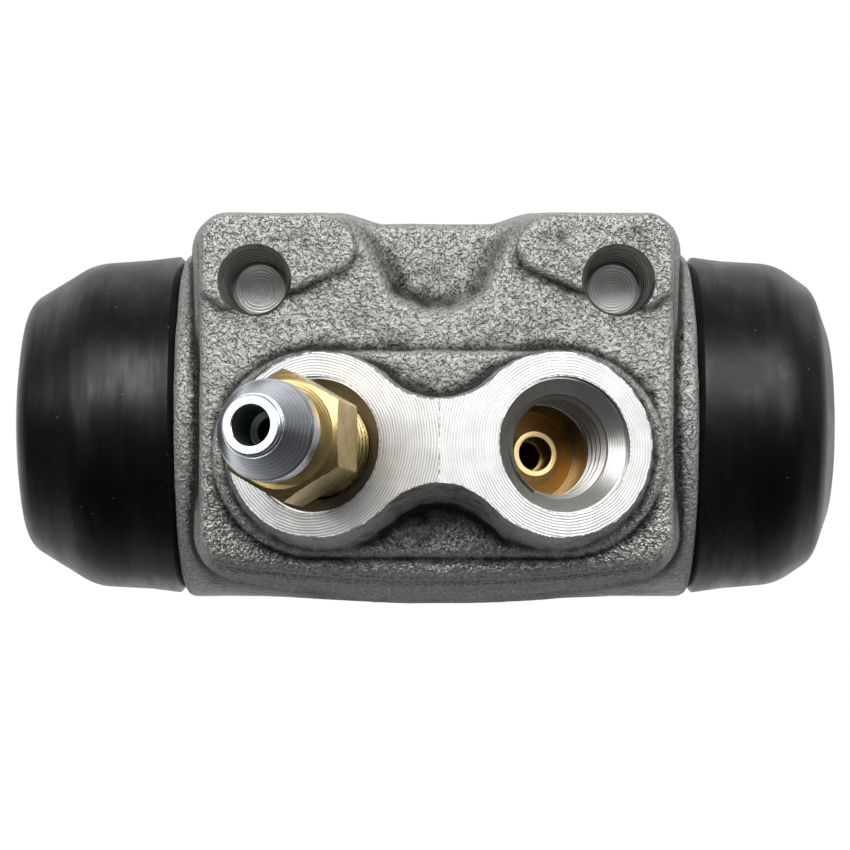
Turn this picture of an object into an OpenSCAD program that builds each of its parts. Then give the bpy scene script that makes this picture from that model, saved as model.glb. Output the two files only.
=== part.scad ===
// Drum-brake wheel cylinder: a cast body with a through bore, two opposed pistons with cup seals and dust boots,
// an inlet port with a flare seat and a bleed screw with a hose nipple.
// X runs along the bore, Z points up the mounting face and Y points from the mounting plane into the casting.
// The origin is on the mounting plane, midway between the two mounting holes. All sizes are in millimetres.

/* [Mounting] */
// Distance between the two mounting holes
hole_spacing = 36; // [35:0.5:37]
// Outer radius of the mounting thread
hole_r = 3; // [2.5:0.1:3]
// Threaded depth of the mounting holes
hole_depth = 9; // [7:0.5:10]
// Radius of the countersunk mouth of a mounting hole
hole_mouth_r = 3.7; // [3.3:0.1:4]
// Height of the machined ear pads above the front plate
pad_rise = 0.9; // [0.5:0.1:1.2]

/* [Casting] */
// Depth of the bore axis behind the mounting plane
bore_depth = 21; // [20.5:0.1:22]
// Distance of the bore axis below the mounting holes
bore_drop = 13.3; // [13:0.1:14]
// Radius of the round barrel
barrel_r = 18.1; // [17.9:0.1:18.6]
// Half length of the barrel between the boot shoulders
barrel_half = 26.3; // [26:0.1:27]
// Half width of the front plate
plate_half_w = 23.4; // [23:0.1:24]
// Height of the ears above the mounting holes
plate_top = 6.75; // [6.5:0.05:7.5]
// Lowest point of the front plate below the mounting holes
plate_low = 29.4; // [29:0.1:30]
// Draft angle of the cast side walls
draft = 7; // [5:0.5:8]
// Depth of the ears behind the mounting plane
ear_depth = 14.5; // [13.5:0.5:16]
// Depth of the notch between the ears
notch_depth = 3.1; // [2:0.1:4]

/* [Port boss] */
// Distance of each port from the middle of the boss
port_x = 12.2; // [12:0.1:12.6]
// Sideways offset of the boss from the middle of the casting
boss_x = 0.25; // [0:0.05:0.5]
// Distance of the boss below the mounting holes, at its foot
boss_drop = 16.8; // [16.5:0.1:17.5]
// Height of the port faces above the foot of the boss
port_h = 5.5; // [5:0.1:6]
// Sideways lean of each port
port_splay = 17; // [15:0.5:19]
// Upward lean of the whole boss
boss_rise = 4; // [3:0.5:6]
// Distance of each lobe's centre from the middle of the boss
lobe_x = 11.35; // [11.2:0.05:11.6]
// Radius of each lobe at the port face
lobe_r = 9.05; // [8.9:0.05:9.4]
// Half height of the waist between the lobes, at the ridge
waist = 4; // [3.8:0.05:4.5]
// Draft angle of the boss walls
boss_draft = 8; // [7:0.5:10]
// Outer radius of the port threads
port_r = 5; // [4.5:0.1:5]
// Radius of the widened mouth of a port
port_mouth_r = 6.7; // [6.4:0.1:6.9]

/* [Bore and pistons] */
// Radius of the bore
bore_r = 11.11; // [10.5:0.01:11.5]
// Running clearance of a piston, on the radius
piston_gap = 0.05; // [0.02:0.01:0.08]
// How much further out the left piston stands than the right one
left_reach = 2.3; // [0:0.1:2.5]
// Width of the slot that takes the brake shoe
slot_w = 5; // [4.6:0.1:5.4]

/* [Dust boots] */
// Radius of the open lip
boot_lip_r = 17.7; // [17.5:0.05:17.9]
// Distance of the closed end from the middle of the bore
boot_end = 41; // [40.8:0.1:41.4]

/* [Bleed screw] */
// Width of the hexagon across its flats
hex_af = 11; // [10:0.5:11]
// Height of the hexagon
hex_h = 6.3; // [5.5:0.1:7]
// Gap between the port face and the hexagon
hex_gap = 2.8; // [2:0.1:3.5]
// Height of the nipple above the hexagon
nipple_h = 8.2; // [7.5:0.1:9]
// Largest radius of the nipple
nipple_r = 4.8; // [4.4:0.1:5]

/* [Return spring] */
// Radius of the wire
wire_r = 0.55; // [0.4:0.05:0.6]
// Mean radius of the coils
coil_r = 6; // [5.5:0.1:6.2]
// Number of coils
coils = 8; // [5:1:9]

/* [Hidden] */
$fn = 64;
eps = 0.05;

// Depths along Y: the front plate, the foot of the port boss and the floor of the notch
plate_y = pad_rise;
boss_y = 0.1;
notch_y = plate_y + notch_depth;
// Growth of the plate's outline from its face to the parting plane, which holds the bore axis
parting_grow = (bore_depth - plate_y) * tan(draft);
// Neck of the barrel that a boot clips over: its groove, its rim and its end
groove_r = 14.3;
rim_r = 15.2;
neck_end = barrel_half + 4.8;
// Inner faces of the right-hand piston, cup seal lip and cup expander, from the middle of the bore
piston_face = 17;
cup_lip = 11.2;
expander_face = 13.6;
// Levels along a port, from its face: end of the widened mouth, of the thread and of the drilling
mouth_z = -1;
thread_z = -2.4;
thread_end = -8.6;
port_end = -12;
hex_top = hex_gap + hex_h;

function unit(v) = v / norm(v);

// Corner b of a path with neighbours a and c, rounded to radius r
function corner(a, b, c, r, steps) =
    r == 0 ? [b] :
    let (
        u = unit(a - b),
        v = unit(c - b),
        half = acos(u * v) / 2,
        centre = b + unit(u + v) * r / sin(half),
        start = b + u * r / tan(half) - centre,
        first = atan2(start.y, start.x),
        turn = (u.x * v.y - u.y * v.x > 0 ? -1 : 1) * (180 - 2 * half)
    )
    [for (i = [0:steps]) centre + r * [cos(first + turn * i / steps), sin(first + turn * i / steps)]];

// Closed path of [x, y, corner radius] points, with its corners rounded
function rounded(path, steps = 5) =
    let (n = len(path), flat = [for (p = path) [p.x, p.y]])
    [for (i = [0:n - 1]) each corner(flat[(i + n - 1) % n], flat[i], flat[(i + 1) % n], path[i].z, steps)];

// Turned solid about Z, from a path of [height, radius, corner radius] points
module turned(path) {
    rotate_extrude() polygon([for (p = rounded(path)) [p.y, p.x]]);
}

// Places a solid that is drawn along +Z for the right half of the bore, on either side
module on_bore(side, reach = 0) {
    translate([side * reach, bore_depth, -bore_drop]) rotate([0, side * 90, 0]) children();
}

// Places a solid that is drawn along +Z from a port's face
module on_port(side) {
    on_boss() translate([side * port_x, -port_h, 0]) rotate([90, 0, side * port_splay]) children();
}

module on_boss() {
    translate([boss_x, boss_y, -boss_drop]) rotate([-boss_rise, 0, 0]) children();
}

// Stands a flat shape of X and Z up at depth y
module slice(y) {
    translate([0, y, 0]) rotate([90, 0, 0]) linear_extrude(0.01) children();
}

// Front outline of the casting: straight sides and top, and a lower edge that bows down
module plate_outline(grow) {
    bow_r = 150;
    corner_r = 2.5;
    offset(r = grow + corner_r) offset(delta = -corner_r) intersection() {
        translate([-plate_half_w, -plate_low]) square([2 * plate_half_w, plate_low + plate_top]);
        translate([0, bow_r - plate_low]) circle(bow_r, $fn = 360);
    }
}

// Front plate with the ears: it widens towards the parting plane and closes again into the back of the barrel
module drafted_plate() {
    edge = 0.7;
    back_y = bore_depth + 8;
    difference() {
        hull() {
            slice(plate_y) plate_outline(-edge / 2, $fn = 24);
            slice(plate_y + edge) plate_outline(edge * tan(draft), $fn = 24);
            slice(bore_depth) plate_outline(parting_grow, $fn = 24);
            slice(back_y) plate_outline(0, $fn = 24);
        }
        translate([-40, ear_depth, -6]) cube([80, 40, 30]);
    }
}

// Right half of the notch's floor, and of its mouth in the front of the plate
notch_floor = [[1.6, -1.85, 1], [3.5, -0.65, 1.5], [6, 5, 1.5], [7.4, 6.1, 1], [11, 7.9, 0]];
notch_mouth = [[2, -2.75, 1], [4.5, -1.5, 1.5], [7.8, 3, 1.5], [8.9, 5.4, 1.5], [12, 7.1, 0]];

function both_halves(half) =
    rounded(concat([for (i = [len(half) - 1:-1:0]) [-half[i].x, half[i].y, half[i].z]], half), 3);

// Drafted notch between the ears, which flares into their round inner corners
module notch() {
    low = both_halves(notch_floor);
    mouth = both_halves(notch_mouth);
    n = len(low);
    front_y = -1;
    stretch = (notch_y - front_y) / (notch_y - plate_y);
    points = concat(
        [for (p = low) [p.x, notch_y, p.y]],
        [for (i = [0:n - 1]) let (p = low[i] + (mouth[i] - low[i]) * stretch) [p.x, front_y, p.y]]
    );
    walls = [for (i = [0:n - 1]) let (j = (i + 1) % n) [n + i, n + j, j, i]];
    polyhedron(points, concat(walls, [[for (i = [0:n - 1]) i], [for (i = [n - 1:-1:0]) n + i]]));
    // The floor ends below the tops of the ears
    translate([0, notch_y - 0.5, 0]) rotate([5, 0, 0]) translate([0, ear_depth, 0]) rotate([90, 0, 0])
        linear_extrude(ear_depth) polygon([[-11, 7.9], [-7.4, 6.1], [7.4, 6.1], [11, 7.9], [0, 14]]);
}

// Raised pad round a mounting hole, which runs out to the ear's inner corner
module ear_pad(side) {
    translate([0, plate_y + 0.2, 0]) rotate([90, 0, 0]) linear_extrude(plate_y + 0.2) scale([-side, 1]) {
        translate([-hole_spacing / 2, 0]) circle(3.95);
        polygon([[-22.7, -1.5], [-20.9, -2.7], [-18, -1], [-14.5, -0.98], [-8.7, 1.48], [-8, 3], [-9, 5.2], [-10.8, 6.3],
            [-21.2, 6.3], [-22.7, 4.6]]);
    }
}

// Low oval step that the port boss stands on
module boss_step() {
    hull()
        for (x = [-port_x, port_x], level = [[boss_y, 10.1], [plate_y + 0.3, 10.4]])
            translate([x + boss_x, level[0], -boss_drop - 0.3]) rotate([-90, 0, 0]) cylinder(h = 0.01, r = level[1], $fn = 40);
}

// Upper half of the bow-tie outline at height h: a lobe, the hollow waist and the other lobe, with no kinks
function bow_tie(h) =
    let (
        lobe = lobe_r + (port_h - h) * tan(boss_draft),
        ridge_h = port_h + port_x * tan(port_splay),
        low = waist + (ridge_h - port_h) * tan(boss_draft),
        hollow_r = (lobe_x * lobe_x + low * low - lobe_r * lobe_r) / (2 * (lobe_r - low)),
        hollow = hollow_r - (port_h - h) * tan(boss_draft),
        lift = low + hollow_r,
        t = atan2(lift, lobe_x)
    )
    [
        for (i = [0:12]) [-lobe_x, 0] + lobe * [cos(180 - (180 - t) * i / 12), sin(180 - (180 - t) * i / 12)],
        for (i = [1:9]) [0, lift] + hollow * [cos(180 + t + (180 - 2 * t) * i / 10), sin(180 + t + (180 - 2 * t) * i / 10)],
        for (i = [0:12]) [lobe_x, 0] + lobe * [cos((180 - t) * (1 - i / 12)), sin((180 - t) * (1 - i / 12))]
    ];

// Drafted bow-tie column, with straight walls between its foot and its top
module bow_tie_column(foot, top) {
    m = len(bow_tie(0)) - 1;
    n = 2 * m;
    points = [for (h = [foot, top]) each let (up = bow_tie(h)) [
        for (i = [0:m]) [up[i].x, -h, up[i].y],
        for (i = [m - 1:-1:1]) [up[i].x, -h, -up[i].y]
    ]];
    walls = [for (i = [0:n - 1]) let (j = (i + 1) % n) [i, j, n + j, n + i]];
    lids = [for (i = [0:m - 1]) let (a = (n - i) % n, b = n - i - 1)
        i == 0 ? [0, b, 1] : i == m - 1 ? [i, a, m] : [i, a, b, i + 1]];
    polyhedron(points, concat(walls, lids, [for (f = lids) [for (k = [len(f) - 1:-1:0]) f[k] + n]]));
}

// Port boss: the column cut by the two port faces, which meet in a ridge
module port_boss() {
    on_boss() bow_tie_column(-1, 11);
}

module port_face_cuts() {
    for (side = [-1, 1]) on_port(side) translate([-40, -14, 0]) cube([80, 28, 20]);
}

// Round barrel with a chamfered shoulder, a boot groove and a rim at each end
module barrel() {
    half_path = [[barrel_half - 1, barrel_r, 0], [barrel_half, barrel_r - 1, 0], [barrel_half, groove_r, 0],
        [barrel_half + 2.2, groove_r, 0], [barrel_half + 2.7, rim_r, 0], [neck_end - 0.4, rim_r, 0],
        [neck_end, rim_r - 0.4, 0], [neck_end, 0, 0]];
    other_path = [for (i = [len(half_path) - 1:-1:0]) [-half_path[i].x, half_path[i].y, 0]];
    on_bore(1) turned(concat(other_path, half_path));
}

module bore() {
    on_bore(1) {
        translate([0, 0, -neck_end - 1]) cylinder(h = 2 * neck_end + 2, r = bore_r);
        for (side = [-1, 1]) rotate([0, side < 0 ? 180 : 0, 0])
            translate([0, 0, neck_end - 0.8]) cylinder(h = 0.8 + eps, r1 = bore_r - eps, r2 = bore_r + 0.8);
    }
}

// Threaded blind hole with a countersunk mouth and a drill point
module mounting_hole(side) {
    tap_r = hole_r - 0.5;
    sink = 0.48;
    translate([side * hole_spacing / 2, 0, 0]) rotate([-90, 0, 0]) {
        translate([0, 0, -1]) cylinder(h = hole_depth + 1, r = hole_r);
        translate([0, 0, -sink]) cylinder(h = 2 * sink, r1 = 2 * hole_mouth_r - hole_r, r2 = hole_r);
        translate([0, 0, hole_depth - eps]) cylinder(h = 1.5 + eps, r = tap_r);
        translate([0, 0, hole_depth + 1.5 - eps]) cylinder(h = tap_r * tan(31), r1 = tap_r, r2 = 0);
    }
}

// Widened mouth and thread that both ports share
module port_mouth() {
    translate([0, 0, mouth_z]) cylinder(h = 4, r = port_mouth_r);
    translate([0, 0, thread_z]) cylinder(h = mouth_z - thread_z, r1 = port_r, r2 = port_mouth_r - 0.2);
    translate([0, 0, thread_end]) cylinder(h = thread_z - thread_end + eps, r = port_r);
}

// Inlet port: a plain stretch below the thread holds the tube seat, and a small drilling runs on to the bore
module inlet_port() {
    on_port(1) {
        port_mouth();
        translate([0, 0, port_end]) cylinder(h = thread_end - port_end + eps, r = port_r - 0.54);
        translate([0, 0, port_end - 7.5]) cylinder(h = 7.5 + eps, r = 1.5);
    }
}

// Bleed port: a conical seat below the thread closes on the tip of the bleed screw
module bleed_port() {
    on_port(-1) {
        port_mouth();
        translate([0, 0, port_end]) cylinder(h = thread_end - port_end + eps, r1 = 1.4, r2 = 4.4);
        translate([0, 0, port_end - 7.5]) cylinder(h = 7.5 + eps, r = 1.4);
    }
}

module cylinder_body() {
    color("dimgray") difference() {
        union() {
            barrel();
            difference() {
                union() {
                    drafted_plate();
                    for (side = [-1, 1]) ear_pad(side);
                }
                notch();
            }
            boss_step();
            difference() {
                port_boss();
                port_face_cuts();
            }
        }
        bore();
        for (side = [-1, 1]) mounting_hole(side);
        inlet_port();
        bleed_port();
    }
}

// Piston: a land that runs in the bore, a taper, a groove for the boot and a nose with a slot for the brake shoe
module piston(side, reach) {
    land_r = bore_r - piston_gap;
    nose = boot_end - 0.3;
    on_bore(side, reach) difference() {
        turned([[piston_face, 0, 0], [piston_face, land_r - 0.5, 0], [piston_face + 0.5, land_r, 0], [30.5, land_r, 0],
            [31, land_r - 0.5, 0], [33.5, 8.2, 1], [nose - 3.8, 7, 0], [nose - 3.8, 6, 0], [nose - 1.8, 6, 0],
            [nose - 1.8, 7, 0], [nose - 0.5, 7, 0], [nose, 6.5, 0], [nose, 0, 0]]);
        translate([-12, -slot_w / 2, nose - 5.4]) cube([24, slot_w, 8]);
    }
}

module left_piston() {
    color("lightgray") piston(-1, left_reach);
}

module right_piston() {
    color("lightgray") piston(1, 0);
}

// Cup seal: a flat back against the piston and a lip that opens towards the fluid
module cup_seal(side, reach) {
    back = piston_face - 0.02;
    on_bore(side, reach)
        turned([[back, 0, 0], [back, 10.7, 0.3], [13.8, 10.7, 0], [cup_lip, bore_r - 0.02, 0], [cup_lip, 10.2, 0],
            [13.7, 8.9, 0.5], [14.2, 7.6, 0], [14.2, 0, 0]]);
}

module left_cup_seal() {
    color("black") cup_seal(-1, left_reach);
}

module right_cup_seal() {
    color("black") cup_seal(1, 0);
}

// Cup expander: a pressed dish that holds the spring and keeps the seal's lip open
module cup_expander(side, reach) {
    face = expander_face;
    on_bore(side, reach)
        turned([[face, 0, 0], [face, 6.95, 0.2], [face - 0.35, 8.2, 0.3], [face - 2.3, 9.15, 0], [face - 2, 9.6, 0],
            [face - 0.05, 8.6, 0.3], [face + 0.5, 7.3, 0.3], [face + 0.5, 0, 0]]);
}

module left_cup_expander() {
    color("silver") cup_expander(-1, left_reach);
}

module right_cup_expander() {
    color("silver") cup_expander(1, 0);
}

// Compression spring along the bore, with its end coils drawn together
module return_spring() {
    sides = 6;
    per_turn = 18;
    rings = coils * per_turn;
    first = -(expander_face + left_reach - wire_r - 0.05);
    last = expander_face - wire_r - 0.05;
    close = 0.62;
    points = [for (i = [0:rings], k = [0:sides - 1])
        let (
            t = i / rings,
            turn = 360 * coils * t,
            r = coil_r + wire_r * cos(360 * k / sides)
        )
        [first + (last - first) * (t - close * sin(360 * t) / 360 * 180 / PI) + wire_r * sin(360 * k / sides),
            r * cos(turn), r * sin(turn)]];
    walls = [for (i = [0:rings - 1], k = [0:sides - 1])
        let (a = i * sides, b = a + sides, q = (k + 1) % sides)
        each [[a + k, b + k, b + q], [a + k, b + q, a + q]]];
    start_lid = [for (k = [0:sides - 1]) k];
    end_lid = [for (k = [sides - 1:-1:0]) rings * sides + k];
    color("slategray") translate([0, bore_depth, -bore_drop]) polyhedron(points, concat(walls, [start_lid, end_lid]));
}

// Dust boot: a bead in the barrel's groove, a tapered wall, a sloped shoulder and a lip in the piston's groove.
// A boot on a piston that stands further out has a longer, flatter shoulder.
module dust_boot(side, reach) {
    start = barrel_half + 0.05;
    end = boot_end + reach;
    on_bore(side)
        turned([
            [start, boot_lip_r - 0.65, 0], [start + 0.6, boot_lip_r, 0.25], [30, boot_lip_r - 0.4, 8],
            [35.6 + 0.11 * reach, boot_lip_r - 0.75, 6], [39.3 + 1.39 * reach, boot_lip_r - 3.35 - 0.61 * reach, 3],
            [end - 0.2, 10.2 - 0.26 * reach, 1.5], [end, 7.3, 0.3], [end - 2.15, 7.3, 0], [end - 2.15, 6.12, 0.3],
            [end - 3.9, 6.12, 0.3],
            [end - 3.9, 7.7, 0.4], [end - 2.2, 9.6 - 0.4 * reach, 1], [38.1 + reach, 13.1 - 0.5 * reach, 1.5],
            [35, 15, 2], [31.5, 15.5, 0], [start + 2.7, 15.4, 0], [start + 2.1, groove_r + 0.1, 0],
            [start, groove_r + 0.1, 0]
        ]);
}

module left_dust_boot() {
    color([0.1, 0.1, 0.1]) dust_boot(-1, left_reach);
}

module right_dust_boot() {
    color([0.1, 0.1, 0.1]) dust_boot(1, 0);
}

// Bleed screw: a conical tip with a cross hole, the threaded shank and a chamfered hexagon bored for the nipple
module bleed_screw() {
    corner_r = hex_af / 2 / cos(30);
    chamfer_r = hex_af / 2 - 0.25;
    color("goldenrod") on_port(-1) difference() {
        union() {
            turned([[port_end + 0.5, 0, 0], [port_end + 0.5, 1.7, 0], [thread_end - 0.3, 4, 0], [-7.2, 4, 0],
                [-6.7, port_r - 0.06, 0], [1, port_r - 0.06, 0], [1.4, port_r - 0.5, 0], [hex_gap + 0.5, port_r - 0.5, 0],
                [hex_gap + 0.5, 0, 0]]);
            intersection() {
                translate([0, 0, hex_gap]) rotate(30) cylinder(h = hex_h, r = corner_r, $fn = 6);
                turned([[hex_gap - 0.2, 0, 0], [hex_gap - 0.2, chamfer_r - 0.3, 0], [hex_gap + 0.5, corner_r + 0.2, 0],
                    [hex_top - 0.6, corner_r + 0.2, 0], [hex_top + 0.2, chamfer_r - 0.3, 0], [hex_top + 0.2, 0, 0]]);
            }
        }
        translate([0, 0, hex_top - 4]) cylinder(h = 5, r = 3);
        translate([0, 0, -9.2]) cylinder(h = hex_top + 9.2, r = 1.3);
        translate([0, 0, -8.05]) rotate(35) translate([-6, 0, 0]) rotate([0, 90, 0]) cylinder(h = 12, r = 0.65);
    }
}

// Hose nipple: a shank in the hexagon, a neck and a tapered bulb with a stepped bore
module bleed_nipple() {
    foot = hex_top - 3.9;
    tip = hex_top + nipple_h;
    color("lightsteelblue") on_port(-1)
        turned([[foot, 1.3, 0], [foot, 2.96, 0], [hex_top + 0.03, 2.96, 0], [hex_top + 0.03, 3.3, 0],
            [hex_top + 1.6, 3.3, 0], [hex_top + 2.3, nipple_r - 0.15, 0], [hex_top + 2.5, nipple_r, 0],
            [hex_top + 4.2, nipple_r, 0], [hex_top + 4.4, nipple_r - 0.2, 0], [tip - 0.7, 3.05, 0], [tip - 0.7, 2.85, 0],
            [tip - 0.15, 2.85, 0], [tip, 2.7, 0], [tip, 2.1, 0], [tip - 0.1, 2, 0], [tip - 5, 2, 0], [tip - 5.4, 1.3, 0]]);
}

// Tube seat: a ring in the bottom of the inlet port, with a cone that the flared pipe closes on
module inlet_tube_seat() {
    base_r = port_r - 0.58;
    base = port_end + 0.02;
    color("gold") on_port(1)
        turned([[base, 1.7, 0], [base, base_r, 0], [base + 1.5, base_r, 0], [base + 1.7, base_r - 0.35, 0],
            [base + 3.1, 2.25, 0], [base + 3.1, 1.7, 0]]);
}

cylinder_body();
left_piston();
right_piston();
left_cup_seal();
right_cup_seal();
left_cup_expander();
right_cup_expander();
return_spring();
left_dust_boot();
right_dust_boot();
bleed_screw();
bleed_nipple();
inlet_tube_seat();
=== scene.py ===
import math

import bmesh
import bpy
import numpy as np
import openvdb
from mathutils import Matrix, Vector


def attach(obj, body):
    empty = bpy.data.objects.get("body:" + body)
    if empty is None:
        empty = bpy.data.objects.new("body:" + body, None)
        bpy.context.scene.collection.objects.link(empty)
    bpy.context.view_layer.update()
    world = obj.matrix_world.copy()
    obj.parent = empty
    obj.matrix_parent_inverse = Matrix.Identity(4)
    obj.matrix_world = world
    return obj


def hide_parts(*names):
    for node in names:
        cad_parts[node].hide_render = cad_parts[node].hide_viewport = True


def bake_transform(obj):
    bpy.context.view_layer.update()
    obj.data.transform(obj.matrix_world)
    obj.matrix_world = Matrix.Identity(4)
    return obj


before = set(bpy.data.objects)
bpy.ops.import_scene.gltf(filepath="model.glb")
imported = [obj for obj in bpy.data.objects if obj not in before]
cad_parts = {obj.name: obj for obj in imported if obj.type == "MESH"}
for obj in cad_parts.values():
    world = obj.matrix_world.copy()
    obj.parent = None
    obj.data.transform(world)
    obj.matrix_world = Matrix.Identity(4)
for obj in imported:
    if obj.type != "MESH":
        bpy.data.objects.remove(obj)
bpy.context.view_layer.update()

# Sizes are in millimetres, as in the part's source, and become metres where a mesh is made
MM = 0.001
SIDES = ((-1, "left"), (1, "right"))
HOLE_X, HOLE_R, HOLE_DEPTH, HOLE_MOUTH_R = 18.0, 3.0, 9.0, 3.7
PLATE_Y, NOTCH_Y, EAR_DEPTH = 0.9, 4.0, 14.5
PLATE_HALF_W, PLATE_TOP, PLATE_LOW = 23.4, 6.75, 29.4
LOW_EDGE_R, BACK_DEPTH = 150, 8
DRAFT, NOTCH_DRAFT, BOSS_DRAFT = math.radians(7), math.radians(20), math.radians(8)
BORE_Y, BORE_Z, BORE_R = 21.0, -13.3, 11.11
BARREL_R, BARREL_HALF = 18.1, 26.3
GROOVE_R, RIM_R, NECK_END = 14.3, 15.2, 31.1
BOSS_X, BOSS_Y, BOSS_Z = 0.25, 0.1, -16.8
STEP_Z, STEP_R = -17.1, 10.1
PORT_X, PORT_H, PORT_R, PORT_MOUTH_R = 12.2, 5.5, 5.0, 6.7
PORT_SPLAY, BOSS_RISE = math.radians(17), math.radians(4)
LOBE_X, LOBE_R, WAIST = 11.35, 9.05, 4.0
MOUTH_Z, THREAD_Z, THREAD_END, PORT_END = -0.7, -1.9, -8.0, -12.0
LEDGE_Z, WAY_END, INLET_WAY_R, BLEED_WAY_R = -10.7, -19.5, 1.5, 1.4
HEX_AF, HEX_GAP, HEX_TOP = 11.0, 2.8, 9.1
NIPPLE_R, NIPPLE_H = 4.8, 8.2
BOOT_LIP_R, BOOT_END, LEFT_REACH = 17.7, 41.0, 2.3
SLOT_W, PISTON_FACE, EXPANDER_FACE = 5.0, 17.0, 13.6
WIRE_R, COIL_R, COILS = 0.55, 6.0, 8
SENSOR_MM, FOCAL_PX, PICTURE_PX = 36, 2893, 850
CAMERA_SPOT, TILT_PX, TURN_PX = (-0.64, -285, -27.09), 130, 5


def rounded(path, steps=6):
    """A closed path of (x, y, corner radius) points, with its corners rounded."""
    points = []
    for i, (bx, by, r) in enumerate(path):
        b = Vector((bx, by))
        if r == 0:
            points.append((bx, by))
            continue
        u = (Vector(path[i - 1][:2]) - b).normalized()
        v = (Vector(path[(i + 1) % len(path)][:2]) - b).normalized()
        half = math.acos(max(-1.0, min(1.0, u.dot(v)))) / 2
        centre = b + (u + v).normalized() * (r / math.sin(half))
        start = b + u * (r / math.tan(half)) - centre
        first = math.atan2(start.y, start.x)
        turn = (math.pi - 2 * half) * (-1 if u.x * v.y - u.y * v.x > 0 else 1)
        for k in range(steps + 1):
            angle = first + turn * k / steps
            points.append((centre.x + r * math.cos(angle), centre.y + r * math.sin(angle)))
    return points


def port_place(side):
    """Local +Z runs out of a port from the middle of its face."""
    boss = Matrix.Translation((BOSS_X, BOSS_Y, BOSS_Z)) @ Matrix.Rotation(-BOSS_RISE, 4, "X")
    face = Matrix.Translation((side * PORT_X, -PORT_H, 0))
    return boss @ face @ Matrix.Rotation(side * PORT_SPLAY, 4, "Z") @ Matrix.Rotation(math.pi / 2, 4, "X")


def bore_place(side, reach=0.0):
    """Local +Z runs outwards along the bore."""
    middle = Matrix.Translation((side * reach, BORE_Y, BORE_Z))
    return middle @ Matrix.Rotation(side * math.pi / 2, 4, "Y")


def hole_place(side):
    """Local +Z runs into a mounting hole from the mounting plane."""
    return Matrix.Translation((side * HOLE_X, 0, 0)) @ Matrix.Rotation(-math.pi / 2, 4, "X")


def mesh_object(name, points, faces, place=Matrix.Identity(4), sharp=35):
    """A smooth-shaded mesh object from points in millimetres, with its creases sharp."""
    mesh = bpy.data.meshes.new(name)
    mesh.from_pydata([MM * (place @ Vector(p)) for p in points], [], faces)
    work = bmesh.new()
    work.from_mesh(mesh)
    bmesh.ops.recalc_face_normals(work, faces=work.faces)
    work.to_mesh(mesh)
    work.free()
    obj = bpy.data.objects.new(name, mesh)
    bpy.context.scene.collection.objects.link(obj)
    crease(obj, sharp)
    return obj


def crease(obj, sharp):
    """Smooth shading, with edges over an angle in degrees kept sharp."""
    obj.data.polygons.foreach_set("use_smooth", [True] * len(obj.data.polygons))
    obj.data.set_sharp_from_angle(angle=math.radians(sharp))


def turned(name, path, place, segments=128, steps=6, sharp=35, wave=None):
    """A solid of revolution about local Z, from a closed path of (height, radius, corner radius) points."""
    profile = rounded(path, steps)
    points, rows = [], []
    for height, radius in profile:
        if radius < 1e-6:
            rows.append([len(points)] * segments)
            points.append((0, 0, height))
            continue
        rows.append(list(range(len(points), len(points) + segments)))
        for k in range(segments):
            angle = 2 * math.pi * k / segments
            r = radius + (wave(height, angle) if wave else 0)
            points.append((r * math.cos(angle), r * math.sin(angle), height))
    faces = []
    for low, high in zip(rows, rows[1:] + rows[:1]):
        for k in range(segments):
            n = (k + 1) % segments
            corners = list(dict.fromkeys([low[k], low[n], high[n], high[k]]))
            if len(corners) > 2:
                faces.append(corners)
    return mesh_object(name, points, faces, place, sharp)


def box(name, low, high, place):
    points = [(x, y, z) for x in (low[0], high[0]) for y in (low[1], high[1]) for z in (low[2], high[2])]
    faces = [(0, 1, 3, 2), (4, 6, 7, 5), (0, 4, 5, 1), (2, 3, 7, 6), (0, 2, 6, 4), (1, 5, 7, 3)]
    return mesh_object(name, points, faces, place)


def carve(obj, tool, operation="DIFFERENCE"):
    """Combines obj with a tool, keeps the tool's material on the new faces and deletes the tool."""
    modifier = obj.modifiers.new("carve", "BOOLEAN")
    modifier.operation = operation
    modifier.solver = "MANIFOLD"
    modifier.material_mode = "TRANSFER"
    modifier.object = tool
    bpy.context.view_layer.update()
    result = bpy.data.meshes.new_from_object(obj.evaluated_get(bpy.context.evaluated_depsgraph_get()))
    obj.modifiers.clear()
    old = obj.data
    obj.data = result
    result.name = obj.name
    bpy.data.meshes.remove(old)
    tool_mesh = tool.data
    bpy.data.objects.remove(tool)
    bpy.data.meshes.remove(tool_mesh)


# Materials


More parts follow.
